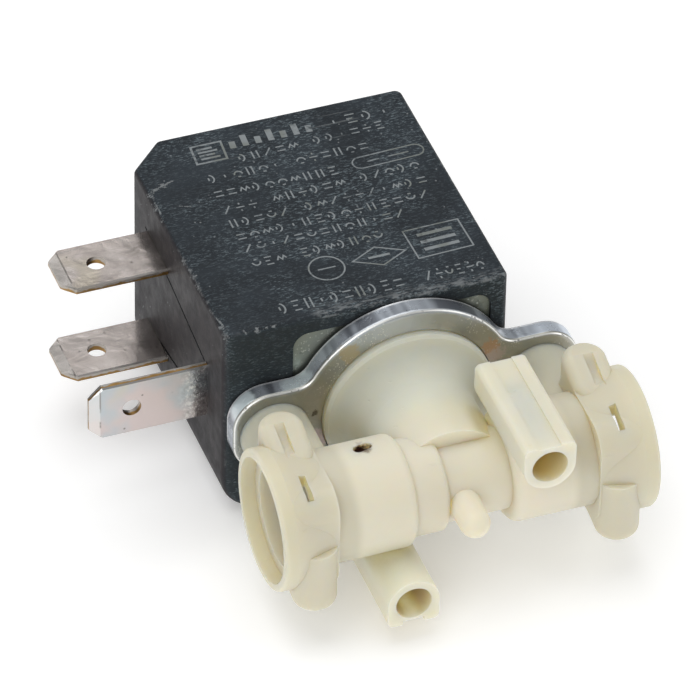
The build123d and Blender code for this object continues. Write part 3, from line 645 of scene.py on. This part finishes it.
# ------------------------------------------------------------------ worn print on the casing
# the strokes stand this far proud of the casing and reach this far into it
MARK_RISE = 0.004 * MM
MARK_SINK = 0.03 * MM
# least cosine that a mitre uses, so a sharp corner reaches out one stroke's width at most
MITRE_LIMIT = 0.5
mark_top = casing_hi.z + MARK_RISE
mark_root = casing_hi.z - MARK_SINK
mark_verts = []
mark_faces = []


def ribbon(path, width, closed=False):
    """A thin raised stroke along a flat path of (x, y) points in millimetres, as a closed prism."""
    points = [Vector(p) for p in path]
    count = len(points)
    first = len(mark_verts)
    for i, point in enumerate(points):
        before = points[i - 1] if i or closed else None
        after = points[(i + 1) % count] if i < count - 1 or closed else None
        runs = [(b - a).normalized() for a, b in ((before, point), (point, after)) if a and b]
        lean = sum(runs, Vector((0, 0))).normalized()
        side = Vector((-lean.y, lean.x)) * (width / 2) / max(MITRE_LIMIT, lean.dot(runs[0]))
        left, right = (point + side) * MM, (point - side) * MM
        mark_verts.extend([(left.x, left.y, mark_top), (right.x, right.y, mark_top),
                           (right.x, right.y, mark_root), (left.x, left.y, mark_root)])
    for i in range(count if closed else count - 1):
        near = first + 4 * i
        far = first + 4 * ((i + 1) % count)
        for k in range(4):
            n = (k + 1) % 4
            mark_faces.append((near + k, near + n, far + n, far + k))
    if not closed:
        last = first + 4 * (count - 1)
        mark_faces.append((first + 3, first + 2, first + 1, first))
        mark_faces.append((last, last + 1, last + 2, last + 3))


def arc(centre, radius, start, stop, steps):
    """Points along part of a circle, between two angles in degrees."""
    angles = [math.radians(start + (stop - start) * i / steps) for i in range(steps + 1)]
    return [(centre[0] + radius * math.cos(a), centre[1] + radius * math.sin(a)) for a in angles]


# abstract strokes in a unit cell: none of them is a letter or a digit
GLYPHS = (
    [[(0.1, 0.25), (0.9, 0.25)], [(0.1, 0.75), (0.9, 0.75)]],
    [[(0.2, 0.05), (0.2, 0.95)], [(0.7, 0.05), (0.7, 0.95)]],
    [[(0.1, 0.1), (0.8, 0.9)]],
    [[(0.1, 0.5), (0.9, 0.5)], [(0.5, 0.80), (0.5, 0.98)], [(0.5, 0.02), (0.5, 0.20)]],
    [arc((0.5, 0.30), 0.42, 10, 170, 6), [(0.35, 0.1), (0.65, 0.1)]],
    [arc((0.5, 0.70), 0.42, 190, 350, 6), [(0.35, 0.9), (0.65, 0.9)]],
    [[(0.05, 0.3), (0.3, 0.7), (0.55, 0.3), (0.8, 0.7), (1.0, 0.4)]],
    [[(0.15, 0.1), (0.85, 0.1)], [(0.15, 0.5), (0.6, 0.5)], [(0.15, 0.9), (0.85, 0.9)]],
    [[(0.45, 0.35), (0.45, 0.65)]],
    [arc((0.15, 0.5), 0.45, -75, 75, 6), [(0.1, 0.35), (0.1, 0.65)]],
)
# share of the pitch that a stroke's cell fills, and the chance that a cell isn't left blank
CELL_FILL = 0.8
CELL_CHANCE = 0.92
# how far a row's last cell may run past its end
ROW_SLACK = 0.2


def print_row(x0, x1, y, height, slope, pitch, width):
    """A row of random strokes whose feet run from (x0, y) to x1."""
    x = x0
    while x + pitch <= x1 + ROW_SLACK:
        if random.random() < CELL_CHANCE:
            for stroke in random.choice(GLYPHS):
                foot = y + slope * (x - x0)
                cell = [(x + CELL_FILL * pitch * u, foot + height * v) for u, v in stroke]
                ribbon(cell, width)
        x += pitch


# rows of strokes: first and last x, y, height, slope, pitch and stroke width, millimetres
ROWS = (
    (2.3, 9.2, 49.1, 1.5, 0.0, 1.75, 0.17),
    (-7.8, 8.0, 46.9, 1.25, 0.03, 1.3, 0.16),
    (-11.7, 5.6, 44.7, 1.35, 0.0, 1.3, 0.16),
    (-11.9, 1.9, 42.3, 1.35, -0.02, 1.3, 0.16),
    (-11.9, 9.6, 39.7, 1.35, 0.035, 1.3, 0.16),
    (-12.0, 9.4, 37.6, 1.3, 0.02, 1.3, 0.16),
    (-12.0, 9.3, 35.5, 1.3, 0.02, 1.35, 0.16),
    (-11.9, 6.0, 33.6, 1.3, 0.015, 1.3, 0.16),
    (-11.9, 1.8, 31.2, 1.35, 0.015, 1.25, 0.16),
    (-11.7, 1.6, 23.9, 1.7, 0.0, 1.3, 0.17),
    (3.2, 9.4, 24.0, 1.6, 0.0, 1.05, 0.17),
)
# closed outlines: the badge, a long oval, a circle, a diamond and a box, with their stroke widths
OUTLINES = (
    ([(-11.9, 47.9), (-8.8, 47.9), (-8.6, 50.6), (-11.7, 50.6)], 0.22),
    (arc((3.3, 43.0), 0.85, 90, 270, 10) + arc((9.0, 43.2), 0.85, -90, 90, 10), 0.15),
    (arc((-5.3, 29.0), 1.75, 0, 345, 22), 0.16),
    ([(-2.6, 29.1), (0.1, 30.5), (2.8, 29.1), (0.1, 27.7)], 0.16),
    ([(3.6, 27.5), (9.3, 27.7), (9.2, 31.9), (3.5, 31.8)], 0.16),
)
# bars: two in the oval, one each in the circle and the diamond
bars = [
    ([(4.0, 43.0), (5.2, 43.05)], 0.15),
    ([(6.2, 43.1), (8.3, 43.15)], 0.15),
    ([(-6.2, 29.0), (-4.4, 29.0)], 0.16),
    ([(-1.0, 29.1), (1.2, 29.1)], 0.3),
]
# four bars in the badge, in turn long and short
for k in range(4):
    level = 48.5 + 0.5 * k
    bars.append(([(-11.3, level), (-9.3 - 0.4 * (k % 2), level)], 0.26))
# a bold row of seven upright bars, in turn low and tall
for k in range(7):
    tall = 49.15 + 1.7 * (0.62 + 0.38 * (k % 2))
    bars.append(([(-7.7 + 1.32 * k, 49.15), (-7.6 + 1.32 * k, tall)], 0.62))
# three bars in the box
for k in range(3):
    bars.append(([(4.6, 28.6 + 1.1 * k), (8.2, 28.7 + 1.1 * k)], 0.42))

for row in ROWS:
    print_row(*row)
for path, width in OUTLINES:
    ribbon(path, width, closed=True)
for path, width in bars:
    ribbon(path, width)

label_marks = new_piece("label_marks", mark_verts, mark_faces, etched_grey())
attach(label_marks, "coil")

# ------------------------------------------------------------------ floor
FLOOR_GAP = 0.1 * MM
FLOOR_HALF = 0.9
floor_z = cad_box[0][2] - FLOOR_GAP
floor_corners = [(x * FLOOR_HALF, y * FLOOR_HALF, floor_z)
                 for x, y in ((-1, -1), (1, -1), (1, 1), (-1, 1))]
paper_dark, paper_light = (0.955, 0.955, 0.955), (0.965, 0.965, 0.965)
paper = Shader("pale_paper", Specular_IOR_Level=0.1, Emission_Color=(1.0, 1.0, 1.0, 1.0),
               Emission_Strength=0.22)
paper.set(Base_Color=paper.mix(paper.noise(6, 2), paper_dark, paper_light),
          Roughness=paper.uneven(40, 2, 0.5, 0.85, 0.95))
floor = new_piece("floor", floor_corners, [(0, 1, 2, 3)], paper.mat)

# ------------------------------------------------------------------ light
# soft boxes round the object: name, direction, distance and size in metres, power in watts
SOFTBOXES = (
    ("overhead", (-0.1, 0.25, 1.0), 0.55, (0.60, 0.55), 1.9),
    ("front_left", (-0.8, -1.0, 0.8), 0.60, (0.40, 0.40), 1.1),
    ("right", (1.0, -0.35, 0.55), 0.65, (0.35, 0.40), 0.8),
)
WORLD_STRENGTH = 0.30
centre = (Vector(cad_box[0]) + Vector(cad_box[1])) / 2
for name, direction, distance, size, power in SOFTBOXES:
    lamp = bpy.data.lights.new(name, "AREA")
    lamp.shape = "RECTANGLE"
    lamp.size, lamp.size_y = size
    lamp.energy = power
    holder = bpy.data.objects.new(name, lamp)
    away = Vector(direction).normalized()
    holder.location = centre + away * distance
    holder.rotation_euler = away.to_track_quat("Z", "Y").to_euler()
    bpy.context.collection.objects.link(holder)

world = bpy.data.worlds.new("studio")
world.use_nodes = True
background = world.node_tree.nodes["Background"]
background.inputs["Color"].default_value = (1.0, 1.0, 1.0, 1.0)
background.inputs["Strength"].default_value = WORLD_STRENGTH
bpy.context.scene.world = world
bpy.context.scene.view_settings.view_transform = "Standard"

# ------------------------------------------------------------------ camera
# azimuth, elevation and roll in degrees
VIEW_ANGLES = (-20.709, 40.524, 1.137)
# the point that the view is built round, and the eye's offset from it in millimetres: back,
# right and up
AIM = (-3.53, 22.5, 11.49)
EYE_OFFSET = (740.2, -1.647, -4.307)
FOCAL_LENGTH = 398.5
SENSOR_WIDTH = 36.0
# nothing nearer to the eye than this is drawn, metres
NEAREST = 0.02
azimuth, elevation, roll = (math.radians(a) for a in VIEW_ANGLES)
flat_reach = math.cos(elevation)
back = Vector((math.sin(azimuth) * flat_reach, -math.cos(azimuth) * flat_reach,
               math.sin(elevation)))
across = Vector((math.cos(azimuth), math.sin(azimuth), 0))
upward = across.cross(-back)
right = math.cos(roll) * across + math.sin(roll) * upward
up = -math.sin(roll) * across + math.cos(roll) * upward
offset = EYE_OFFSET[0] * back + EYE_OFFSET[1] * right + EYE_OFFSET[2] * up
eye = (Vector(AIM) + offset) * MM
lens = bpy.data.cameras.new("camera")
lens.sensor_width = SENSOR_WIDTH
lens.lens = FOCAL_LENGTH
lens.clip_start = NEAREST
camera = bpy.data.objects.new("camera", lens)
bpy.context.collection.objects.link(camera)
camera.matrix_world = Matrix((
    (right.x, up.x, back.x, eye.x),
    (right.y, up.y, back.y, eye.y),
    (right.z, up.z, back.z, eye.z),
    (0, 0, 0, 1),
))
bpy.context.scene.camera = camera
